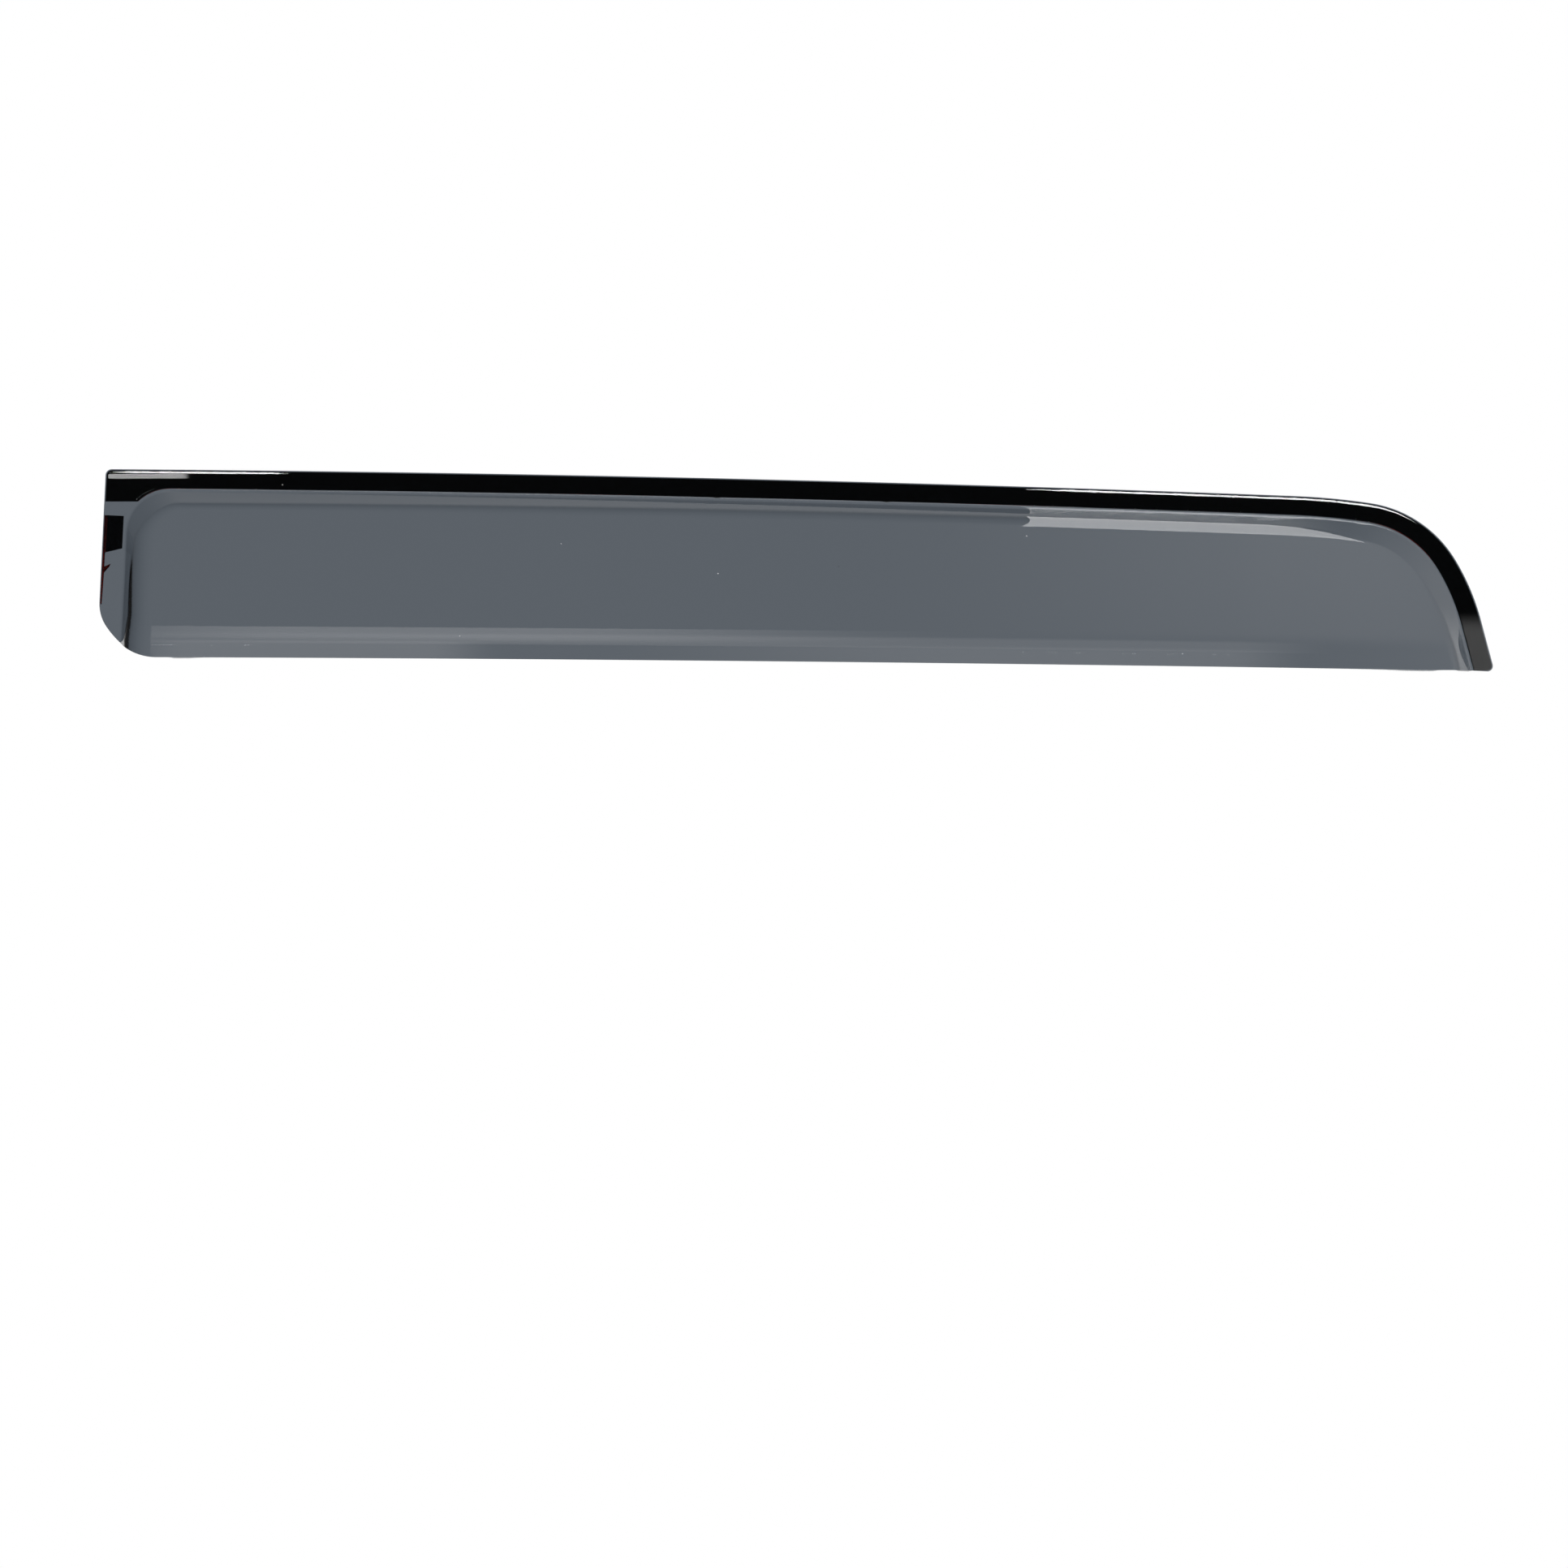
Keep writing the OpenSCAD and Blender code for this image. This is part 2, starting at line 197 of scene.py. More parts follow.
@dataclass(frozen=True)
class Outline:
    """Plan of the deflector: its top edge, curved front, leaning rear edge and bottom edge."""

    rear_reach: float = 356.6
    front_reach: float = 258.0
    top_radius: float = 19500.0
    top_fall: float = 1.44
    front_curves: tuple[tuple[float, float], ...] = ((354.0, 6.4), (61.7, 50.0), (118.0, 16.5))
    tip_radius: float = 2.5
    rear_lean: float = 2.75
    rear_corner_radius: float = 3.0
    rear_edge_height: float = 68.6
    lower_curves: tuple[tuple[float, float], ...] = ((20.3, 36.0), (44.6, 15.0))
    lower_bottom_radius: float = 29.4
    bottom_fall: float = 0.2
    bottom_radius: float = 50000.0
    flange_width: float = 10.0
    rear_flange_width: float = 10.6
    flange_corner_radius: float = 24.0

    def top_edge(self) -> Place:
        """Place on the top edge above the origin."""
        return Place(0.0, self.flange_width / 2, self.top_fall)

    def rear_corner(self) -> Place:
        """The upper rear corner before it is rounded, heading along the top edge."""
        turn = math.degrees(self.rear_reach / self.top_radius)
        return Stretch(self.top_radius, -turn).step(self.top_edge())

    def rail(self) -> Path:
        """Bottom edge, from the foot of the rear edge round the lower corner past the front.

        Returns:
            A path whose last stretch is the long bottom edge.
        """
        corner = self.rear_corner()
        down = Place(corner.x, corner.z, 90 + self.rear_lean)
        turned = sum(turn for _, turn in self.lower_curves)
        reach = self.rear_reach + self.front_reach + self.front_curves[0][0]
        stretches = [Stretch(-radius, -turn) for radius, turn in self.lower_curves]
        stretches += [
            Stretch(-self.lower_bottom_radius, self.bottom_fall - 90 - self.rear_lean + turned),
            Stretch(self.bottom_radius, math.degrees(reach / self.bottom_radius)),
        ]
        return Path(Stretch(0.0, self.rear_edge_height).step(down), stretches)

    def crossing(self, line: Place) -> float:
        """Distance along the bottom edge at which it crosses a line.

        Args:
            line: A point of the line, with the line's heading.

        Returns:
            The distance from the bottom edge's start.
        """
        rail = self.rail()
        heading = math.radians(line.heading)

        def side(distance: float) -> float:
            """Measures how far a place on the bottom edge lies from the line.

            Args:
                distance: Distance of the place along the bottom edge.

            Returns:
                The signed distance from the line.
            """
            place = rail.along(distance)
            across = math.cos(heading) * (place.z - line.z)
            return across + math.sin(heading) * (place.x - line.x)

        # The bottom edge crosses such a line only once, so halving closes in on the crossing.
        low, high = 0.0, rail.length
        far_side = side(high)
        for _ in range(HALVINGS):
            middle = (low + high) / 2
            if side(middle) * far_side > 0:
                high = middle
            else:
                low = middle
        return (low + high) / 2

    def layer(self, inset: float, rear_inset: float, corner_radius: float) -> Path:
        """The outline moved inwards.

        Args:
            inset: Distance that it moves in along the top and front.
            rear_inset: Distance that it moves in along the rear edge.
            corner_radius: Radius of its upper rear corner.

        Returns:
            A path with one stretch for each Edge.
        """
        origin = self.rear_corner()
        angle = 90 + self.rear_lean - origin.heading
        slant = math.sin(math.radians(angle))
        corner = Stretch(0.0, rear_inset / slant).step(origin)
        corner = Stretch(0.0, inset / slant).step(corner._replace(heading=corner.heading + angle))
        reach = corner_radius * math.tan(math.radians((180 - angle) / 2))
        rear = Place(corner.x, corner.z, self.rear_lean - 90)
        foot = self.rail().along(self.crossing(rear))
        edge_height = math.hypot(corner.x - foot.x, corner.z - foot.z) - reach
        top_start = origin.heading + math.degrees((rear_inset + reach) / self.top_radius)
        top_end = self.top_fall + math.degrees(self.front_reach / self.top_radius)
        stretches = [
            Stretch(0.0, edge_height),
            Stretch(corner_radius, top_start - rear.heading),
            Stretch(self.top_radius - inset, top_end - top_start),
        ]
        stretches += [Stretch(radius - inset, turn) for radius, turn in self.front_curves]
        start = Place(foot.x, foot.z, rear.heading)
        end = Path(start, stretches).starts[-1]
        landing = self.rail().along(self.crossing(end))
        tip_turn = 180 + landing.heading - end.heading
        tip_reach = self.tip_radius * math.tan(math.radians(tip_turn / 2))
        run = math.hypot(landing.x - end.x, landing.z - end.z) - tip_reach
        rounded = inset < self.tip_radius
        tip = Stretch(self.tip_radius - inset, tip_turn) if rounded else Stretch(0.0, tip_reach)
        return Path(start, stretches + [Stretch(0.0, run), tip])


def arc_height(place: Place, radius: float, x: float) -> float:
    """Height of a long arc at a given x.

    Args:
        place: Where the arc passes, with its heading there.
        radius: Radius of the arc, whose centre lies below.
        x: Where the height is asked.

    Returns:
        The z of the arc at x.
    """
    heading = math.radians(place.heading)
    centre_x = place.x - radius * math.sin(heading)
    centre_z = place.z - radius * math.cos(heading)
    return centre_z + math.sqrt(radius * radius - (x - centre_x) ** 2)


def arc_drop(into: float, radius: float) -> float:
    """How far an arc has fallen away from its start, a distance into it."""
    return radius - math.sqrt(radius * radius - into * into) if into > 0 else 0.0


def stations(steps: dict[Edge, int]) -> list[tuple[Edge, float]]:
    """Places at which every layer is sampled, as an edge and the share along it."""
    found = [(edge, k / count) for edge, count in steps.items() for k in range(count)]
    return found + [(Edge.TIP, 1.0)]


def shaped_grid(columns: int, rows: int, place: Callable[[int, int], Vector]) -> bmesh.types.BMesh:
    """Makes a grid and moves each of its vertices to its place.

    Args:
        columns: Number of vertices along the outline.
        rows: Number of vertices from the edge inwards.
        place: Gives the place of a vertex from its column and row, in millimetres.

    Returns:
        The shaped grid, with its front towards -Y.
    """
    mesh = bmesh.new()
    bmesh.ops.create_grid(mesh, x_segments=columns - 1, y_segments=rows - 1, size=1.0)
    for vertex in mesh.verts:
        column = round((vertex.co.x + 1) / 2 * (columns - 1))
        row = round((1 - vertex.co.y) / 2 * (rows - 1))
        vertex.co = place(column, row) * MM
    return mesh


def placed(mesh: bmesh.types.BMesh, name: str, material: bpy.types.Material) -> bpy.types.Object:
    """Turns a bmesh into an object with one material.

    Args:
        mesh: The shape, which is freed.
        name: The object's name.
        material: Its finish.

    Returns:
        The object, linked to the scene.
    """
    data = bpy.data.meshes.new(name)
    mesh.to_mesh(data)
    mesh.free()
    data.materials.append(material)
    thing = bpy.data.objects.new(name, data)
    bpy.context.scene.collection.objects.link(thing)
    return thing


def finished(mesh: bmesh.types.BMesh, name: str, material: bpy.types.Material) -> bpy.types.Object:
    """Turns a bmesh into a smooth piece of the deflector.

    Args:
        mesh: The shape, which is freed.
        name: The piece's name.
        material: Its finish.

    Returns:
        The piece, riding on the deflector's body.
    """
    piece = placed(mesh, name, material)
    piece.data.shade_smooth()
    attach(piece, BODY)
    return piece


def thicken(piece: bpy.types.Object, thickness: float, rounding: float, segments: int) -> None:
    """Gives a sheet its thickness behind its front face and rounds its rim.

    Args:
        piece: The sheet.
        thickness: Its thickness in millimetres.
        rounding: Width of the rounded rim in millimetres.
        segments: Steps of the rounding.
    """
    wall = piece.modifiers.new("thickness", "SOLIDIFY")
    wall.thickness = thickness * MM
    wall.offset = -1.0
    wall.use_even_offset = True
    rim = piece.modifiers.new("rim", "BEVEL")
    rim.limit_method = "ANGLE"
    rim.angle_limit = math.radians(SHARP_EDGE)
    rim.width = rounding * MM
    rim.segments = segments
    rim.harden_normals = True


def add_node(tree: bpy.types.NodeTree, kind: str, settings: dict[str, Any] | None = None,
             inputs: dict[str | int, Any] | None = None) -> bpy.types.Node:
    """Adds a node with its settings, and values or links on its inputs.

    Args:
        tree: The node tree that it joins.
        kind: The node's type name.
        settings: Attributes of the node.
        inputs: A value or an output socket for each named or numbered input.

    Returns:
        The node.
    """
    node = tree.nodes.new(kind)
    for key, value in (settings or {}).items():
        setattr(node, key, value)
    for key, value in (inputs or {}).items():
        if isinstance(value, bpy.types.NodeSocket):
            tree.links.new(value, node.inputs[key])
        else:
            node.inputs[key].default_value = value
    return node


def blank_material(name: str) -> tuple[bpy.types.Material, bpy.types.NodeTree]:
    """Makes a material with an empty node tree.

    Args:
        name: The material's name.

    Returns:
        The material and its node tree.
    """
    material = bpy.data.materials.new(name)
    material.use_nodes = True
    material.node_tree.nodes.clear()
    return material, material.node_tree


@dataclass(frozen=True)
class SmokedAcrylic:
    """Cast acrylic sheet with a smoke tint, drape-moulded and polished.

    It is clear in depth, so its darkness is the length of the way through it. Moulding leaves
    long, shallow waves that bend reflections, and static draws a few specks of dust.

    Attributes:
        depth_tint: Colour that the sheet lets through best.
        tint_density: Density of the tint for each metre of depth.
        index: Index of refraction.
        roughness: Roughness of the polished face.
        wave_length: Millimetres between two waves.
        wave_height: Millimetres from a wave's foot to its crest.
        speck_spacing: Millimetres between two specks.
        speck_radius: Radius of a speck in millimetres.
        speck_cover: Share of the light that a speck holds back.
    """

    depth_tint: str = "647686"
    tint_density: float = 1000.0
    index: float = 1.49
    roughness: float = 0.0
    wave_length: float = 90.0
    wave_height: float = 0.002
    speck_spacing: float = 26.0
    speck_radius: float = 0.35
    speck_cover: float = 0.3

    def make(self) -> bpy.types.Material:
        """Builds the material.

        Returns:
            A transmissive material with an absorbing volume.
        """
        material, tree = blank_material("smoked_cast_acrylic")
        coords = add_node(tree, "ShaderNodeTexCoord")
        waves = add_node(tree, "ShaderNodeTexNoise", {}, {
            "Vector": coords.outputs["Object"], "Scale": 1 / (self.wave_length * MM), "Detail": 1.0,
        })
        bump = add_node(tree, "ShaderNodeBump", {}, {
            "Height": waves.outputs["Fac"], "Strength": 1.0, "Distance": self.wave_height * MM,
        })
        specks = add_node(tree, "ShaderNodeTexVoronoi", {"feature": "F1"}, {
            "Vector": coords.outputs["Object"], "Scale": 1 / (self.speck_spacing * MM),
        })
        dust = add_node(tree, "ShaderNodeMath", {"operation": "LESS_THAN"}, {
            0: specks.outputs["Distance"], 1: self.speck_radius / self.speck_spacing,
        })
        clear = add_node(tree, "ShaderNodeMath", {"operation": "MULTIPLY_ADD"}, {
            0: dust.outputs[0], 1: -self.speck_cover, 2: 1.0,
        })
        surface = add_node(tree, "ShaderNodeBsdfPrincipled", {}, {
            "Base Color": (1.0, 1.0, 1.0, 1.0), "Roughness": self.roughness, "IOR": self.index,
            "Transmission Weight": clear.outputs[0], "Normal": bump.outputs["Normal"],
        })
        tint = add_node(tree, "ShaderNodeVolumeAbsorption", {}, {
            "Color": linear(self.depth_tint), "Density": self.tint_density,
        })
        add_node(tree, "ShaderNodeOutputMaterial", {}, {
            "Surface": surface.outputs[0], "Volume": tint.outputs[0],
        })
        return material


@dataclass(frozen=True)
class FoamTape:
    """Black closed-cell acrylic foam tape, slit from a roll: matt, with fine open cells.

    Attributes:
        colour: Colour of the foam.
        index: Index of refraction.
        roughness: Roughness between the cells.
        cell_size: Millimetres between two cells, coarser than real ones so that they show.
        cell_depth: Depth of a cell in millimetres.
        cell_strength: Share of that depth that shades the face.
    """

    colour: str = "141416"
    index: float = 1.48
    roughness: float = 0.85
    cell_size: float = 0.35
    cell_depth: float = 0.05
    cell_strength: float = 0.8

    def make(self) -> bpy.types.Material:
        """Builds the material.

        Returns:
            A matt black material with pitted cells.
        """
        material, tree = blank_material("closed_cell_foam_tape")
        coords = add_node(tree, "ShaderNodeTexCoord")
        cells = add_node(tree, "ShaderNodeTexVoronoi", {"feature": "F1"}, {
            "Vector": coords.outputs["Object"], "Scale": 1 / (self.cell_size * MM),
        })
        bump = add_node(tree, "ShaderNodeBump", {}, {
            "Height": cells.outputs["Distance"], "Strength": self.cell_strength,
            "Distance": self.cell_depth * MM,
        })
        surface = add_node(tree, "ShaderNodeBsdfPrincipled", {}, {
            "Base Color": linear(self.colour), "Roughness": self.roughness, "IOR": self.index,
            "Normal": bump.outputs["Normal"],
        })
        add_node(tree, "ShaderNodeOutputMaterial", {}, {"Surface": surface.outputs[0]})
        return material


@dataclass(frozen=True)
class ReleaseFilm:
    """Red polyethylene release film, blown and calendered: a soft sheen with faint creases.

    It is thin enough for light from behind to glow through.

    Attributes:
        colour: Colour of the film.
        index: Index of refraction.
        translucency: Share of the light that goes through.
        sheen: Roughness at a crease's foot and at its crest.
        crease_spacing: Millimetres between two creases.
        crease_height: Height of a crease in millimetres.
        crease_strength: Share of that height that shades the face.
    """

    colour: str = "e03420"
    index: float = 1.51
    translucency: float = 0.6
    sheen: tuple[float, float] = (0.25, 0.42)
    crease_spacing: float = 14.0
    crease_height: float = 0.06
    crease_strength: float = 0.6

    def make(self) -> bpy.types.Material:
        """Builds the material.

        Returns:
            A translucent red material with faint creases.
        """
        material, tree = blank_material("polyethylene_release_film")
        coords = add_node(tree, "ShaderNodeTexCoord")
        creases = add_node(tree, "ShaderNodeTexNoise", {}, {
            "Vector": coords.outputs["Object"], "Scale": 1 / (self.crease_spacing * MM),
            "Detail": 3.0,
        })
        shade = add_node(tree, "ShaderNodeMapRange", {}, {
            "Value": creases.outputs["Fac"], "To Min": self.sheen[0], "To Max": self.sheen[1],
        })
        bump = add_node(tree, "ShaderNodeBump", {}, {
            "Height": creases.outputs["Fac"], "Strength": self.crease_strength,
            "Distance": self.crease_height * MM,
        })
        surface = add_node(tree, "ShaderNodeBsdfPrincipled", {}, {
            "Base Color": linear(self.colour), "Roughness": shade.outputs["Result"],
            "IOR": self.index, "Transmission Weight": self.translucency,
            "Normal": bump.outputs["Normal"],
        })
        add_node(tree, "ShaderNodeOutputMaterial", {}, {"Surface": surface.outputs[0]})
        return material


@dataclass
class VisorShell:
    """The moulded sheet: flange, walls, panel and lip, from the edge of its plan inwards.

    Rungs run across the sheet at every station: out from the edge line over the flange, up the
    wall from the flange line to the crown line, and down the panel and its lip to the bottom.

    Attributes:
        outline: Plan of the deflector.
        thickness: Thickness of the sheet.
        backing: Thickness of the tape and film behind the flange.
        bond_gap: Gap between the sheet's back and the tape.
        foot_radius: Radius of the fillet at the wall's foot.
        shoulder_width: Width of the wall and crown along the top and front.
        rear_shoulder_width: Their width along the rear.
        panel_corner_radius: Radius of the crown line's rear corner.
        rear_crown_radius: Radius of the crown along the rear.
        crown_radius: Radius of the crown along the top.
        front_crown_radius: Radius of the crown down the front.
        shoulder_height: Height of the crown line above the flange.
        panel_slope: Degrees by which the panel slopes outwards on its way down.
        lip_height: Height of the band in which the panel curves back.
        lip_radius: Radius of that curve.
        nose_length: Length of the stretch in which the panel curves back to the front.
        nose_radius: Radius of that curve.
        rim_reach: How far the rim stands out from the plan.
        rim_rounding: Width of the rounding on the rim.
        rim_steps: Steps of that rounding.
        rung_leans: How far the rungs' feet lie from the crown line's, along the bottom edge, at
            both ends, at the rear corner and at the front bend.
        flange_rows: Rows of faces across the flange.
        foot_rows: Rows across the fillet at the wall's foot.
        crown_rows: Rows across the crown.
        panel_rows: Rows across the panel.
        lip_rows: Rows across the lip.
        steps: Columns of faces on each stretch of the outline.
    """

    outline: Outline
    thickness: float = 2.5
    backing: float = 1.2
    bond_gap: float = 0.03
    foot_radius: float = 1.5
    shoulder_width: float = 10.5
    rear_shoulder_width: float = 17.4
    panel_corner_radius: float = 14.0
    rear_crown_radius: float = 15.5
    crown_radius: float = 10.0
    front_crown_radius: float = 9.0
    shoulder_height: float = 9.0
    panel_slope: float = 12.0
    lip_height: float = 17.0
    lip_radius: float = 57.0
    nose_length: float = 134.0
    nose_radius: float = 600.0
    rim_reach: float = 0.3
    rim_rounding: float = 0.5
    rim_steps: int = 4
    rung_leans: tuple[float, float, float] = (14.0, 44.0, 84.0)
    flange_rows: int = 12
    foot_rows: int = 7
    crown_rows: int = 18
    panel_rows: int = 16
    lip_rows: int = 20
    steps: dict[Edge, int] = field(default_factory=lambda: {
        Edge.REAR: 34, Edge.CORNER: 26, Edge.TOP: 130, Edge.EASE_IN: 14, Edge.BEND: 60,
        Edge.EASE_OUT: 24, Edge.FRONT: 18, Edge.TIP: 6,
    })
    rail: Path = field(init=False)
    stations: list[tuple[Edge, float]] = field(init=False)
    edge_line: list[Place] = field(init=False)
    flange_line: list[Place] = field(init=False)
    crown_line: list[Place] = field(init=False)
    nose_start: float = field(init=False)
    rail_marks: list[float] = field(init=False)
    rung_feet: list[float] = field(init=False)
    sections: list[list[tuple[float, float]]] = field(init=False)

    def __post_init__(self) -> None:
        """Works out the three outlines, the bottom edge and the feet of the rungs on it."""
        plan = self.outline
        width, rear_width = plan.flange_width, plan.rear_flange_width
        self.rail = plan.rail()
        self.stations = stations(self.steps)
        crown = plan.layer(width + self.shoulder_width, rear_width + self.rear_shoulder_width,
                           self.panel_corner_radius)
        paths = [plan.layer(0.0, 0.0, plan.rear_corner_radius),
                 plan.layer(width, rear_width, plan.flange_corner_radius), crown]
        edge_line, self.flange_line, self.crown_line = (
            [path.on(edge, share) for edge, share in self.stations] for path in paths)
        self.nose_start = edge_line[-1].x - self.nose_length
        self.edge_line = [self.outwards(place, 1) for place in edge_line]
        self.rail_marks = [0.0, plan.crossing(self.flange_line[0]),
                           plan.crossing(self.crown_line[0])]
        front = plan.crossing(self.crown_line[-1])
        end_lean, corner_lean, front_lean = self.rung_leans
        knots = [(0.0, self.rail_marks[2] + end_lean),
                 (crown.run_to(Edge.TOP, 0.0), self.rail_marks[2] + corner_lean),
                 (crown.run_to(Edge.TOP, 1.0), front - front_lean),
                 (crown.length, front - end_lean)]
        self.rung_feet = [self.interpolate(crown.run_to(*s), knots) for s in self.stations]
        self.rail_marks.append(self.rung_feet[0])
        self.sections = [self.wall_section(i) for i in range(len(self.stations))]

    @staticmethod
    def interpolate(value: float, knots: list[tuple[float, float]]) -> float:
        """Reads a value off a line that runs straight from one knot to the next.

        Args:
            value: Where the line is read.
            knots: Pairs of a place and the value there, in order.

        Returns:
            The value there, or the last knot's beyond it.
        """
        for (a, start), (b, end) in zip(knots, knots[1:]):
            if value <= b:
                return mix(start, end, (value - a) / (b - a))
        return knots[-1][1]

    def height(self, x: float, z: float) -> float:
        """Height of the panel above the flange at a point of the plan.

        Args:
            x: The point's x.
            z: The point's z.

        Returns:
            The height, with the lip and the nose taken off.
        """
        plan = self.outline
        below = arc_height(plan.top_edge(), plan.top_radius, x) - z
        below -= plan.flange_width + self.shoulder_width
        bottom = arc_height(self.rail.starts[-2], plan.bottom_radius, x)
        into_lip = min(self.lip_height, self.lip_height - (z - bottom))
        rise = self.shoulder_height + below * math.tan(math.radians(self.panel_slope))
        return (rise - arc_drop(into_lip, self.lip_radius)
                - arc_drop(x - self.nose_start, self.nose_radius))

    def crown_at(self, index: int) -> float:
        """Radius of the crown at a station, which changes round the rear corner and front bend.

        Args:
            index: Number of the station.

        Returns:
            The radius.
        """
        edge, share = self.stations[index]
        if edge < Edge.CORNER:
            return self.rear_crown_radius
        if edge == Edge.CORNER:
            return mix(self.rear_crown_radius, self.crown_radius, share)
        if edge < Edge.BEND:
            return self.crown_radius
        if edge == Edge.BEND:
            return mix(self.crown_radius, self.front_crown_radius, share)
        return self.front_crown_radius

    def wall_section(self, index: int) -> list[tuple[float, float]]:
        """Section of the wall at a station.

        Args:
            index: Number of the station.

        Returns:
            Pairs of a share of the wall's width and the height there, through a fillet, a
            straight and a crown that ends at the panel's slope.
        """
        top, foot = self.crown_line[index], self.flange_line[index]
        width = math.hypot(top.x - foot.x, top.z - foot.z)
        height = self.height(top.x, top.z)
        ahead = self.height(top.x + (top.x - foot.x) / width, top.z + (top.z - foot.z) / width)
        slope = math.atan(ahead - height)
        room = (width - self.foot_radius) / (1 - math.sin(slope))
        radius = min(self.crown_at(index), room)
        # The straight touches both arcs, whose centres lie this far apart, and that sets its angle.
        across = width + radius * math.sin(slope)
        up = height - self.foot_radius - radius * math.cos(slope)
        angle = math.asin((self.foot_radius + radius) / math.hypot(across, up))
        angle += math.atan2(up, across)
        section = []
        for k in range(1, self.foot_rows + 1):
            turn = angle * k / self.foot_rows
            section.append((self.foot_radius * math.sin(turn) / width,
                            self.foot_radius * (1 - math.cos(turn))))
        for k in range(self.crown_rows + 1):
            turn = mix(angle, slope, k / self.crown_rows)
            section.append((1 + radius * (math.sin(slope) - math.sin(turn)) / width,
                            height - radius * (math.cos(slope) - math.cos(turn))))
        return section

    def outwards(self, place: Place, side: int) -> Place:
        """Moves a place of the outline out by the rim's reach.

        Args:
            place: The place, with the outline's heading.
            side: 1 on the edge and -1 on the bottom, which is walked the other way.

        Returns:
            The place on the rim.
        """
        heading = math.radians(place.heading)
        reach = side * self.rim_reach
        return place._replace(x=place.x + reach * math.sin(heading),
                              z=place.z + reach * math.cos(heading))

    def bottom(self, distance: float) -> Place:
        """Point of the sheet's bottom edge at a distance along it."""
        return self.outwards(self.rail.along(distance), -1)

    def between(self, index: int, zone: int, a: Place, b: Place, share: float) -> Place:
        """Point of a rung between two lines.

        Args:
            index: Number of the rung. The first one follows the bottom edge instead.
            zone: Number of the zone, from the flange inwards.
            a: The rung's place on the zone's first line.
            b: Its place on the second.
            share: How far the point is from the first line to the second.

        Returns:
            The point in the plan.
        """
        if index == 0:
            return self.bottom(mix(self.rail_marks[zone], self.rail_marks[zone + 1], share))
        return Place(mix(a.x, b.x, share), mix(a.z, b.z, share))

    def lifted(self, place: Place, height: float) -> Vector:
        """Puts a point of the plan on the sheet's outer face."""
        return Vector((place.x, -(self.backing + self.thickness + height), place.z))

    def point(self, column: int, row: int) -> Vector:
        """Place of one vertex of the outer face.

        Args:
            column: Number of its rung.
            row: Number of its row from the edge inwards.

        Returns:
            The place, in millimetres.
        """
        edge, flange = self.edge_line[column], self.flange_line[column]
        if row <= self.flange_rows:
            share = row / self.flange_rows
            return self.lifted(self.between(column, 0, edge, flange, share), 0.0)
        row -= self.flange_rows + 1
        crown = self.crown_line[column]
        if row < len(self.sections[column]):
            share, height = self.sections[column][row]
            return self.lifted(self.between(column, 1, flange, crown, share), height)
        row -= len(self.sections[column]) - 1
        lip_share = self.lip_height / (self.outline.rear_edge_height - self.shoulder_width)
        if row <= self.panel_rows:
            share = (1 - lip_share) * row / self.panel_rows
        else:
            share = 1 - lip_share * (self.panel_rows + self.lip_rows - row) / self.lip_rows
        foot = self.bottom(self.rung_feet[column])
        place = self.between(column, 2, crown, foot, share)
        return self.lifted(place, self.height(place.x, place.z))

    def build(self, finish: SmokedAcrylic) -> bpy.types.Object:
        """Builds the shell in place of its plain solid.

        Args:
            finish: The sheet's finish.

        Returns:
            The shell.
        """
        rows = self.flange_rows + self.foot_rows + self.crown_rows + self.panel_rows
        rows += self.lip_rows + 2
        mesh = shaped_grid(len(self.stations), rows, self.point)
        piece = finished(mesh, "smoked_shell", finish.make())
        thicken(piece, self.thickness - self.bond_gap, self.rim_rounding, self.rim_steps)
        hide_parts("visor_shell")
        return piece


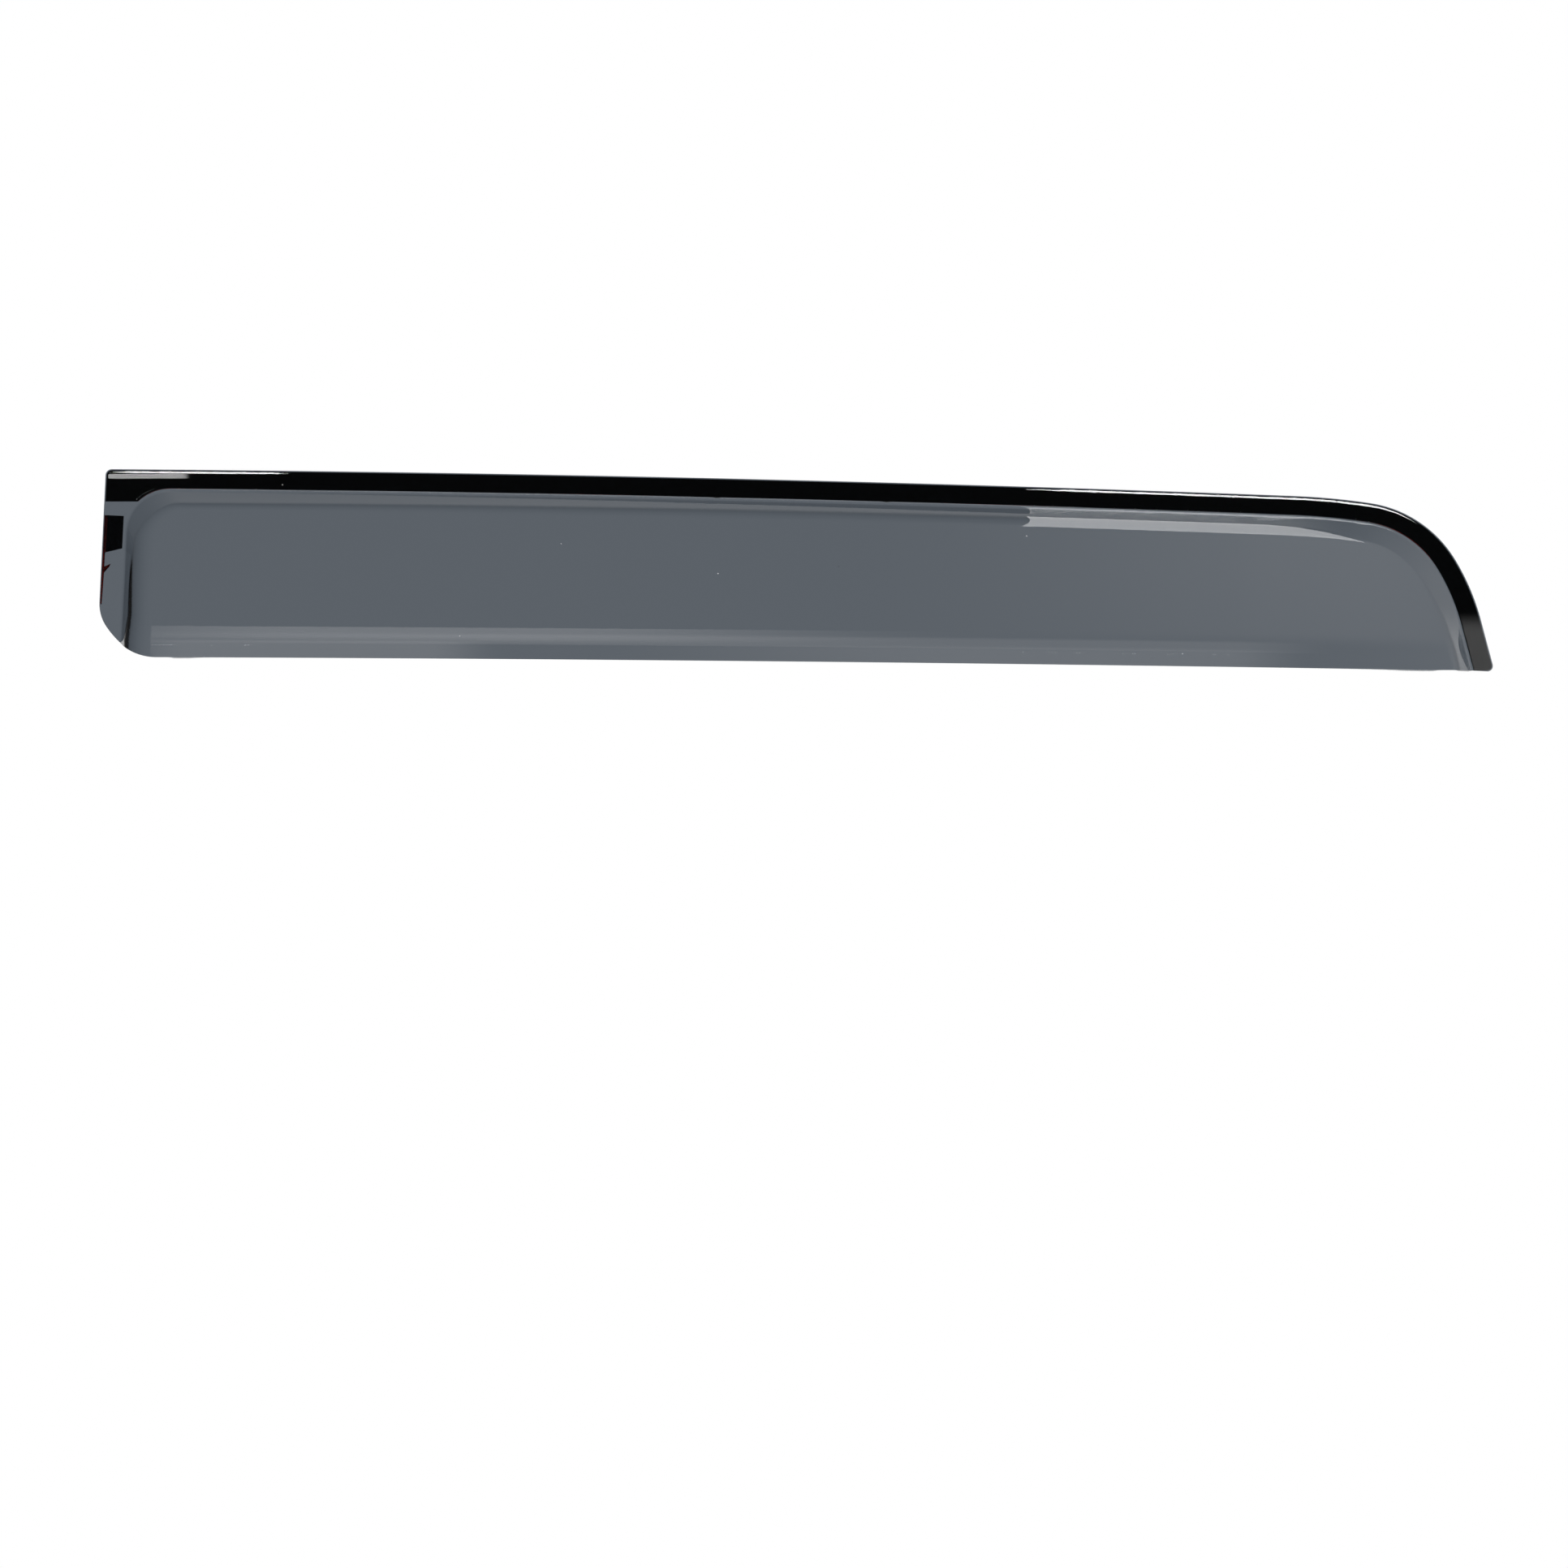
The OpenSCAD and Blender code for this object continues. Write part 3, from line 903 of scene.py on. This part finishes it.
@dataclass
class AdhesiveStrips:
    """The foam tapes behind the flange, and the red film that still covers their backs.

    Attributes:
        outline: Plan of the deflector.
        tape_thickness: Thickness of the foam.
        film_thickness: Thickness of the film.
        margin: Gap between the top tape and the flange's inner line.
        outer_margin: Gap between the top tape and the sheet's edge.
        bend_slack: How much narrower the top tape is in the middle of the front bend.
        rear_drop: How far down the rear edge the top tape is cut off.
        rear_gap: Gap between the top tape and the rear one.
        rear_length: Length of the rear tape.
        rear_width: Width of the rear tape.
        rear_inset: Distance of the rear tape from the rear edge.
        rear_snip: Height that is snipped off the rear tape's lower front corner.
        tail_width: Width of the film's tail below the rear tape.
        tail_length: Length of that tail.
        tail_taper: Width of the tail's end as a share of its width.
        barb_drop: How far down the tail the torn barb sits.
        barb_length: Length of the barb.
        barb_hook: Share of its length at which the barb's tip hooks back.
        curl_height: How far the tail curls off the door's face.
        curl_wave: Length over which the curl rises and falls, divided by pi.
        curl_start: Length over which the curl sets in.
        cut_spacing: Distance between the cuts that let the film curl.
        cuts: Number of those cuts.
        wander: How far the inner edge of the top tape, which was slit, strays.
        wander_waves: Lengths of the waves in which it strays, two along x and one along z.
        nicks: Places along x where the knife slipped and left a small tooth on that edge.
        nick_depth: How far such a tooth stands out.
        nick_width: Width of such a tooth.
        rounding_share: Share of the foam's thickness that is rounded at its rim.
        rounding_steps: Steps of that rounding.
        rows: Rows of vertices across the top tape.
        steps: Columns of faces on each stretch of the outline.
    """

    outline: Outline
    tape_thickness: float = 1.1
    film_thickness: float = 0.1
    margin: float = 0.5
    outer_margin: float = 0.2
    bend_slack: float = 0.35
    rear_drop: float = 16.4
    rear_gap: float = 7.0
    rear_length: float = 19.2
    rear_width: float = 8.3
    rear_inset: float = 1.7
    rear_snip: float = 2.4
    tail_width: float = 1.2
    tail_length: float = 27.0
    tail_taper: float = 0.6
    barb_drop: float = 9.0
    barb_length: float = 3.2
    barb_hook: float = 0.8
    curl_height: float = 0.55
    curl_wave: float = 6.0
    curl_start: float = 4.0
    cut_spacing: float = 1.2
    cuts: int = 39
    wander: float = 0.12
    wander_waves: tuple[float, float, float] = (23.0, 61.0, 17.0)
    nicks: tuple[float, ...] = (-41.0, 47.0)
    nick_depth: float = 0.4
    nick_width: float = 1.4
    rounding_share: float = 0.12
    rounding_steps: int = 2
    rows: int = 5
    steps: dict[Edge, int] = field(default_factory=lambda: {
        Edge.REAR: 10, Edge.CORNER: 24, Edge.TOP: 420, Edge.EASE_IN: 16, Edge.BEND: 48,
        Edge.EASE_OUT: 20, Edge.FRONT: 12, Edge.TIP: 5,
    })

    def wandering(self, place: Place) -> float:
        """How far the slit edge of the tape strays from its line.

        Args:
            place: Place on the line.

        Returns:
            The distance that the edge strays inwards there.
        """
        short, long, upright = self.wander_waves
        slow = math.sin(place.x / short) * math.sin(place.x / long + place.z / upright)
        nick = sum(math.exp(-(((place.x - x) / self.nick_width) ** 2)) for x in self.nicks)
        return self.wander * slow + self.nick_depth * nick

    def top_foam(self, material: bpy.types.Material) -> bpy.types.Object:
        """Builds the tape along the top and down the front, cut level at the rear corner.

        Args:
            material: The foam's finish.

        Returns:
            The tape.
        """
        plan = self.outline
        marks = stations(self.steps)
        outer = plan.layer(self.outer_margin, self.outer_margin,
                           plan.rear_corner_radius - self.outer_margin)
        inner = plan.layer(plan.flange_width - self.margin, plan.rear_flange_width - self.margin,
                           plan.flange_corner_radius + self.margin)

        def point(column: int, row: int) -> Vector:
            """Place of one vertex of the tape's front.

            Args:
                column: Number of its station.
                row: Number of its row from the outer edge inwards.

            Returns:
                The place, in millimetres.
            """
            a, b = (path.on(*marks[column]) for path in (outer, inner))
            edge, way = marks[column]
            slack = self.bend_slack * math.sin(math.pi * way) if edge == Edge.BEND else 0.0
            share = row / (self.rows - 1)
            heading = math.radians(b.heading)
            stray = (self.wandering(b) - slack) * share
            x = mix(a.x, b.x, share) - math.sin(heading) * stray
            z = mix(a.z, b.z, share) - math.cos(heading) * stray
            return Vector((x, -self.film_thickness - self.tape_thickness, z))

        mesh = shaped_grid(len(marks), self.rows, point)
        corner = plan.rear_corner()
        limit = (corner.x + plan.rear_flange_width + plan.flange_corner_radius) * MM
        # Only the rear end is cut, because the front bend reaches below the cut's level too.
        rear_faces = [f for f in mesh.faces if f.calc_center_median().x < limit]
        rear = {item for f in rear_faces for item in (f, *f.edges, *f.verts)}
        level = (corner.z - self.rear_drop) * MM
        bmesh.ops.bisect_plane(mesh, geom=list(rear), plane_co=(0, 0, level),
                               plane_no=(0, 0, -1), clear_outer=True)
        piece = finished(mesh, "top_foam", material)
        thicken(piece, self.tape_thickness, self.tape_thickness * self.rounding_share,
                self.rounding_steps)
        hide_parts("top_tape")
        return piece

    def rear_film(self, material: bpy.types.Material) -> bpy.types.Object:
        """Builds the rear film with its curling tail and torn barb.

        Args:
            material: The film's finish.

        Returns:
            The film.
        """
        top = self.rear_drop + self.rear_gap
        end = top + self.rear_length
        front = self.rear_inset + self.rear_width
        barb = end + self.barb_drop
        tail = self.tail_width
        corners = [(0.0, top), (front, top), (front, end - self.rear_snip), (self.rear_inset, end),
                   (tail, end), (tail, barb - self.barb_length / 2),
                   (tail + self.barb_length, barb - self.barb_length),
                   (tail + self.barb_length * self.barb_hook, barb - self.barb_length / 2),
                   (tail, barb + self.barb_length / 2),
                   (tail * self.tail_taper, end + self.tail_length),
                   (0.0, end + self.tail_length)]
        mesh = bmesh.new()
        mesh.faces.new([mesh.verts.new((across, 0.0, -down)) for across, down in corners])
        for k in range(1, self.cuts + 1):
            bmesh.ops.bisect_plane(mesh, geom=[*mesh.verts, *mesh.edges, *mesh.faces],
                                   plane_co=(0, 0, -top - k * self.cut_spacing),
                                   plane_no=(0, 0, 1))
        lean = math.radians(self.outline.rear_lean)
        corner = self.outline.rear_corner()
        for vertex in mesh.verts:
            across, down = vertex.co.x, -vertex.co.z
            below = max(0.0, down - end)
            curl = self.curl_height * math.sin(below / self.curl_wave) ** 2
            curl *= min(1.0, below / self.curl_start)
            vertex.co = Vector((
                corner.x + across * math.cos(lean) - down * math.sin(lean), -curl,
                corner.z - across * math.sin(lean) - down * math.cos(lean))) * MM
        # An open sheet has no outside of its own, so its front is turned to -Y.
        bmesh.ops.recalc_face_normals(mesh, faces=mesh.faces)
        if sum(f.normal.y for f in mesh.faces) > 0:
            bmesh.ops.reverse_faces(mesh, faces=mesh.faces)
        piece = finished(mesh, "rear_film", material)
        wall = piece.modifiers.new("thickness", "SOLIDIFY")
        wall.thickness = self.film_thickness * MM
        wall.offset = 1.0
        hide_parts("rear_tape_liner")
        return piece

    def build(self, nodes: dict[str, bpy.types.Object], foam: FoamTape,
              film: ReleaseFilm) -> list[bpy.types.Object]:
        """Builds and dresses the tapes and films.

        Args:
            nodes: The frame's nodes by name.
            foam: Finish of the tapes.
            film: Finish of the release films.

        Returns:
            The new pieces.
        """
        foam_material, film_material = foam.make(), film.make()
        for node, material in (("rear_tape", foam_material), ("top_tape_liner", film_material)):
            nodes[node].data.materials.clear()
            nodes[node].data.materials.append(material)
        return [self.top_foam(foam_material), self.rear_film(film_material)]


@dataclass(frozen=True)
class Softbox:
    """A rectangular lamp whose face can fade towards its edges.

    Attributes:
        name: The lamp's name.
        centre: Where it stands, in metres.
        aim: The point that it faces.
        size: Its width and height in metres.
        radiance: How bright its face is, where 1 is white.
        fades: Share of the face that fades at its left, right, bottom and top edge.
        lean: Share of the width by which its right edge leans in from bottom to top.
        reach: Share of the width at which that leaning edge starts at the bottom.
    """

    name: str
    centre: tuple[float, float, float]
    aim: tuple[float, float, float]
    size: tuple[float, float]
    radiance: float
    fades: tuple[float, float, float, float] = (0.0, 0.0, 0.0, 0.0)
    lean: float = 0.0
    reach: float = 1.0

    def shade(self, lamp: bpy.types.Light) -> None:
        """Makes the lamp's face fade towards its edges.

        Args:
            lamp: The lamp.
        """
        lamp.use_nodes = True
        tree = lamp.node_tree
        tree.nodes.clear()
        place = add_node(tree, "ShaderNodeNewGeometry")
        face = add_node(tree, "ShaderNodeSeparateXYZ", {}, {0: place.outputs["Parametric"]})
        across, up = face.outputs[0], face.outputs[1]
        leaning = add_node(tree, "ShaderNodeMath", {"operation": "MULTIPLY_ADD"}, {
            0: up, 1: self.lean, 2: across})
        level = add_node(tree, "ShaderNodeMath", {"operation": "LESS_THAN"}, {
            0: leaning.outputs[0], 1: self.reach}).outputs[0]
        sides = ((across, 0.0, 1), (leaning.outputs[0], 1.0, -1), (up, 0.0, 1), (up, 1.0, -1))
        for share, (way, edge, inwards) in zip(self.fades, sides):
            if share:
                ramp = add_node(tree, "ShaderNodeMapRange", {"interpolation_type": "SMOOTHSTEP"}, {
                    "Value": way, "From Min": edge, "From Max": edge + inwards * share})
                level = add_node(tree, "ShaderNodeMath", {"operation": "MULTIPLY"}, {
                    0: level, 1: ramp.outputs[0]}).outputs[0]
        glow = add_node(tree, "ShaderNodeEmission", {}, {"Strength": level})
        add_node(tree, "ShaderNodeOutputLight", {}, {0: glow.outputs[0]})

    def make(self) -> None:
        """Adds the lamp, unseen by the camera and through the sheet."""
        lamp = bpy.data.lights.new(self.name, "AREA")
        lamp.shape = "RECTANGLE"
        lamp.size, lamp.size_y = self.size
        # A lamp that shines evenly from a face gives pi times its radiance for each square metre.
        lamp.energy = self.radiance * math.pi * self.size[0] * self.size[1]
        self.shade(lamp)
        holder = bpy.data.objects.new(self.name, lamp)
        holder.location = self.centre
        facing = Vector(self.aim) - Vector(self.centre)
        holder.rotation_euler = facing.to_track_quat("-Z", "Y").to_euler()
        holder.visible_camera = False
        holder.visible_transmission = False
        bpy.context.scene.collection.objects.link(holder)


def studio_lamps() -> list[Softbox]:
    """The lamps that the polished sheet mirrors, each named for the light patch that it draws.

    Returns:
        The lamps.
    """
    return [
        Softbox("crown_light", (0.418, -0.549, 0.679), (0.418, -0.376, -0.306), (0.516, 1.264), 6.0,
                lean=0.71, reach=1.04),
        Softbox("lip_light", (-0.195, -2.0, 0.417), (-0.195, 0.0, 0.417), (0.7, 0.653), 1.7,
                (0.3, 0.5, 0.5, 0.0)),
        Softbox("lip_fill", (0.1, -2.1, 0.345), (0.1, 0.0, 0.345), (1.4, 0.5), 0.75,
                (0.3, 0.35, 0.05, 0.3)),
        Softbox("lip_low_left", (-0.27, -0.5, -0.11), (-0.27, 0.0, -0.11), (0.22, 0.22), 1.25,
                (0.2, 0.2, 0.0, 0.1)),
        Softbox("lip_low_right", (0.115, -0.5, -0.1), (0.115, 0.0, -0.1), (0.49, 0.2), 1.0,
                (0.5, 0.25, 0.0, 0.3)),
        Softbox("panel_light", (0.415, -0.5, 0.2), (0.415, 0.0, 0.2), (0.77, 0.4), 0.8,
                (0.4, 0.5, 0.6, 0.3)),
        Softbox("nose_light", (0.6623, -5.0, -0.0216), (0.3585, 0.0, -0.0808), (0.055, 0.0669), 1.4,
                (0.0, 0.4, 0.0, 0.3)),
        Softbox("edge_band", (-0.6078, -5.0, 0.14), (-0.6078, 0.0, 0.14), (0.0777, 0.0046), 8.5,
                (0.0, 0.1, 0.0, 0.0)),
    ]


@dataclass(frozen=True)
class EdgeTube:
    """Thin bent tube light, mirrored as the bright line along the flange's outer edge.

    Attributes:
        name: The tube's name.
        start: Stretch of the outline and share along it where the line begins.
        end: Stretch and share where it ends.
        inset: Millimetres from the edge to the line's middle.
        width: Width of the line in millimetres.
        taper: Share of the length over which each end thins out.
        radiance: How bright the tube is, where 1 is white.
        columns: Columns of vertices along the tube.
    """

    name: str
    start: tuple[Edge, float]
    end: tuple[Edge, float]
    inset: float = 1.15
    width: float = 0.9
    taper: float = 0.12
    radiance: float = 24.0
    columns: int = 90

    def make(self, outline: Outline, swelling: float, eye: tuple[float, float],
             depth: float) -> None:
        """Adds the tube where the flange mirrors it into the camera.

        Args:
            outline: Plan of the deflector.
            swelling: Size of the tube as a multiple of its mirror image.
            eye: The camera's x and z, in millimetres.
            depth: The tube's distance before the door's face, in millimetres.
        """
        line = outline.layer(self.inset, self.inset, outline.rear_corner_radius - self.inset)
        run = (line.run_to(*self.start), line.run_to(*self.end))

        def point(column: int, row: int) -> Vector:
            """Place of one vertex of the tube's face.

            Args:
                column: Its number along the tube.
                row: 0 on the tube's outer edge and 1 on its inner one.

            Returns:
                The place, in millimetres.
            """
            share = column / (self.columns - 1)
            place = line.along(mix(*run, share))
            heading = math.radians(place.heading)
            full = min(1.0, share / self.taper, (1 - share) / self.taper)
            out = (0.5 - row) * self.width * full
            x, z = place.x + out * math.sin(heading), place.z + out * math.cos(heading)
            return Vector((mix(eye[0], x, swelling), -depth, mix(eye[1], z, swelling)))

        material, tree = blank_material(self.name)
        glow = add_node(tree, "ShaderNodeEmission", {}, {"Strength": self.radiance})
        add_node(tree, "ShaderNodeOutputMaterial", {}, {"Surface": glow.outputs[0]})
        tube = placed(shaped_grid(self.columns, 2, point), self.name, material)
        tube.visible_camera = tube.visible_transmission = False
        tube.visible_diffuse = tube.visible_shadow = False


def edge_tubes() -> list[EdgeTube]:
    """The tubes that draw the bright line along the top edge, rear and front.

    Returns:
        The tubes.
    """
    return [
        EdgeTube("edge_tube_rear", (Edge.CORNER, 0.6), (Edge.TOP, 0.15)),
        EdgeTube("edge_tube_front", (Edge.TOP, 0.77), (Edge.BEND, 0.5)),
    ]


@dataclass(frozen=True)
class Ramp:
    """A smooth change of light along one direction of the world.

    Attributes:
        axis: Name of the direction's axis.
        start: Where the change begins, from -1 to 1 along the axis.
        end: Where it ends.
        low: Light before the change.
        high: Light after it.
    """

    axis: str
    start: float
    end: float
    low: float
    high: float

    def make(self, tree: bpy.types.NodeTree, direction: bpy.types.Node) -> bpy.types.NodeSocket:
        """Adds the ramp to the world.

        Args:
            tree: The world's node tree.
            direction: Node that splits the direction into its axes.

        Returns:
            The ramp's light.
        """
        ramp = add_node(tree, "ShaderNodeMapRange", {"interpolation_type": "SMOOTHSTEP"}, {
            "Value": direction.outputs[self.axis], "From Min": self.start, "From Max": self.end,
            "To Min": self.low, "To Max": self.high})
        return ramp.outputs["Result"]


def seen_directly(tree: bpy.types.NodeTree) -> tuple[bpy.types.Node, bpy.types.NodeSocket]:
    """Adds the test for rays that come from the camera, straight or through the sheet.

    Args:
        tree: The node tree that the test joins.

    Returns:
        The node that tells the kinds of ray apart, and a value of 1 for such rays.
    """
    path = add_node(tree, "ShaderNodeLightPath")
    seen = add_node(tree, "ShaderNodeMath", {"operation": "MAXIMUM"}, {
        0: path.outputs["Is Camera Ray"], 1: path.outputs["Is Transmission Ray"]})
    return path, seen.outputs[0]


@dataclass
class Studio:
    """White sweep, soft lights and the camera, placed for the photograph's framing.

    Attributes:
        outline: Plan of the deflector.
        millimetres_per_pixel: Scale of the photograph at the door's face.
        picture_pixels: Width and height of the photograph.
        origin_pixel: Where the frame's origin lies in the photograph.
        camera_distance: Metres from the camera to the door's face.
        camera_range: Metres that the camera sees.
        floor_height: Height of the floor in metres.
        floor_half_width: Half the floor's width in metres, and its reach to the front.
        floor_back: The floor's reach behind the door's face in metres.
        floor_colour: Colour of the floor's paint.
        floor_glow: Share of plain white in what the camera sees of the floor.
        dimming: Mirrored light, dim behind the camera and full behind the deflector.
        left_dimming: Share of it that is left far to the left.
        right_glow: Mirrored light that is added on the right.
        fill: Light from all round on matt faces.
        lamps: The softboxes.
        tubes: The tube lights.
        tube_distance: Metres from the door's face to the tubes.
    """

    outline: Outline
    millimetres_per_pixel: float = 0.42
    picture_pixels: int = 1932
    origin_pixel: tuple[float, float] = (980.5, 604.5)
    camera_distance: float = 6.0
    camera_range: float = 50.0
    floor_height: float = -0.75
    floor_half_width: float = 3.0
    floor_back: float = 1.3
    floor_colour: str = "f2f2f2"
    floor_glow: float = 0.6
    dimming: Ramp = Ramp("Y", -0.35, 0.25, 0.03, 1.0)
    left_dimming: Ramp = Ramp("X", -0.8, -0.3, 0.1, 1.0)
    right_glow: Ramp = Ramp("X", 0.15, 0.9, 0.0, 1.2)
    fill: float = 0.55
    lamps: list[Softbox] = field(default_factory=studio_lamps)
    tubes: list[EdgeTube] = field(default_factory=edge_tubes)
    tube_distance: float = 5.0

    def camera(self) -> None:
        """Adds the camera, level and square on, with the photograph's frame width."""
        width = self.picture_pixels * self.millimetres_per_pixel * MM
        middle = self.picture_pixels / 2
        lens = bpy.data.cameras.new("camera")
        lens.lens = lens.sensor_width * self.camera_distance / width
        lens.clip_end = self.camera_range
        holder = bpy.data.objects.new("camera", lens)
        holder.location = ((middle - self.origin_pixel[0]) * self.millimetres_per_pixel * MM,
                           -self.camera_distance,
                           (self.origin_pixel[1] - middle) * self.millimetres_per_pixel * MM)
        holder.rotation_euler = (math.pi / 2, 0, 0)
        bpy.context.scene.collection.objects.link(holder)
        bpy.context.scene.camera = holder

    def world(self) -> None:
        """Sets a world that is white to the eye and dim behind the camera for reflections."""
        world = bpy.data.worlds.new("sweep")
        bpy.context.scene.world = world
        world.use_nodes = True
        tree = world.node_tree
        tree.nodes.clear()
        path, seen = seen_directly(tree)
        coords = add_node(tree, "ShaderNodeTexCoord")
        direction = add_node(tree, "ShaderNodeSeparateXYZ", {}, {0: coords.outputs["Generated"]})
        ramps = (self.dimming, self.left_dimming, self.right_glow)
        surroundings = add_node(tree, "ShaderNodeMath", {"operation": "MULTIPLY_ADD"}, {
            number: ramp.make(tree, direction) for number, ramp in enumerate(ramps)})
        mirrored = add_node(tree, "ShaderNodeMix", {"data_type": "FLOAT"}, {
            0: path.outputs["Is Glossy Ray"], 2: self.fill, 3: surroundings.outputs[0]})
        level = add_node(tree, "ShaderNodeMix", {"data_type": "FLOAT"}, {
            0: seen, 2: mirrored.outputs[0], 3: 1.0})
        light = add_node(tree, "ShaderNodeBackground", {}, {
            "Color": (1, 1, 1, 1), "Strength": level.outputs[0]})
        add_node(tree, "ShaderNodeOutputWorld", {}, {"Surface": light.outputs[0]})

    def floor(self) -> None:
        """Lays a pale floor below the frame that keeps the deflector's shadow."""
        mesh = bmesh.new()
        bmesh.ops.create_grid(mesh, x_segments=1, y_segments=1, size=1.0)
        depth = (self.floor_back + self.floor_half_width) / 2
        for vertex in mesh.verts:
            vertex.co = Vector((vertex.co.x * self.floor_half_width,
                                self.floor_back - depth + vertex.co.y * depth, self.floor_height))
        material, tree = blank_material("painted_floor")
        seen = seen_directly(tree)[1]
        share = add_node(tree, "ShaderNodeMath", {"operation": "MULTIPLY"}, {
            0: seen, 1: self.floor_glow})
        paint = add_node(tree, "ShaderNodeBsdfDiffuse", {}, {"Color": linear(self.floor_colour)})
        glow = add_node(tree, "ShaderNodeEmission", {}, {"Color": (1, 1, 1, 1), "Strength": 1.0})
        blend = add_node(tree, "ShaderNodeMixShader", {}, {
            0: share.outputs[0], 1: paint.outputs[0], 2: glow.outputs[0]})
        add_node(tree, "ShaderNodeOutputMaterial", {}, {"Surface": blend.outputs[0]})
        placed(mesh, "floor", material)

    def build(self) -> None:
        """Sets up the whole studio."""
        self.camera()
        self.world()
        self.floor()
        for lamp in self.lamps:
            lamp.make()
        eye = bpy.context.scene.camera.location / MM
        swelling = 1 + self.tube_distance / self.camera_distance
        for tube in self.tubes:
            tube.make(self.outline, swelling, (eye.x, eye.z), self.tube_distance / MM)
        bpy.context.scene.view_settings.view_transform = "Standard"


def main() -> None:
    """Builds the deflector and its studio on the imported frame."""
    logging.basicConfig(level=logging.INFO, format="%(name)s: %(message)s")
    for item in list(bpy.data.objects):
        bpy.data.objects.remove(item)
    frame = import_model()
    outline = Outline()
    pieces = [VisorShell(outline).build(SmokedAcrylic())]
    pieces += AdhesiveStrips(outline).build(frame["nodes"], FoamTape(), ReleaseFilm())
    Studio(outline).build()
    for piece in pieces:
        LOG.info("%s: %d vertices", piece.name, len(piece.data.vertices))


if __name__ == "__main__":
    main()
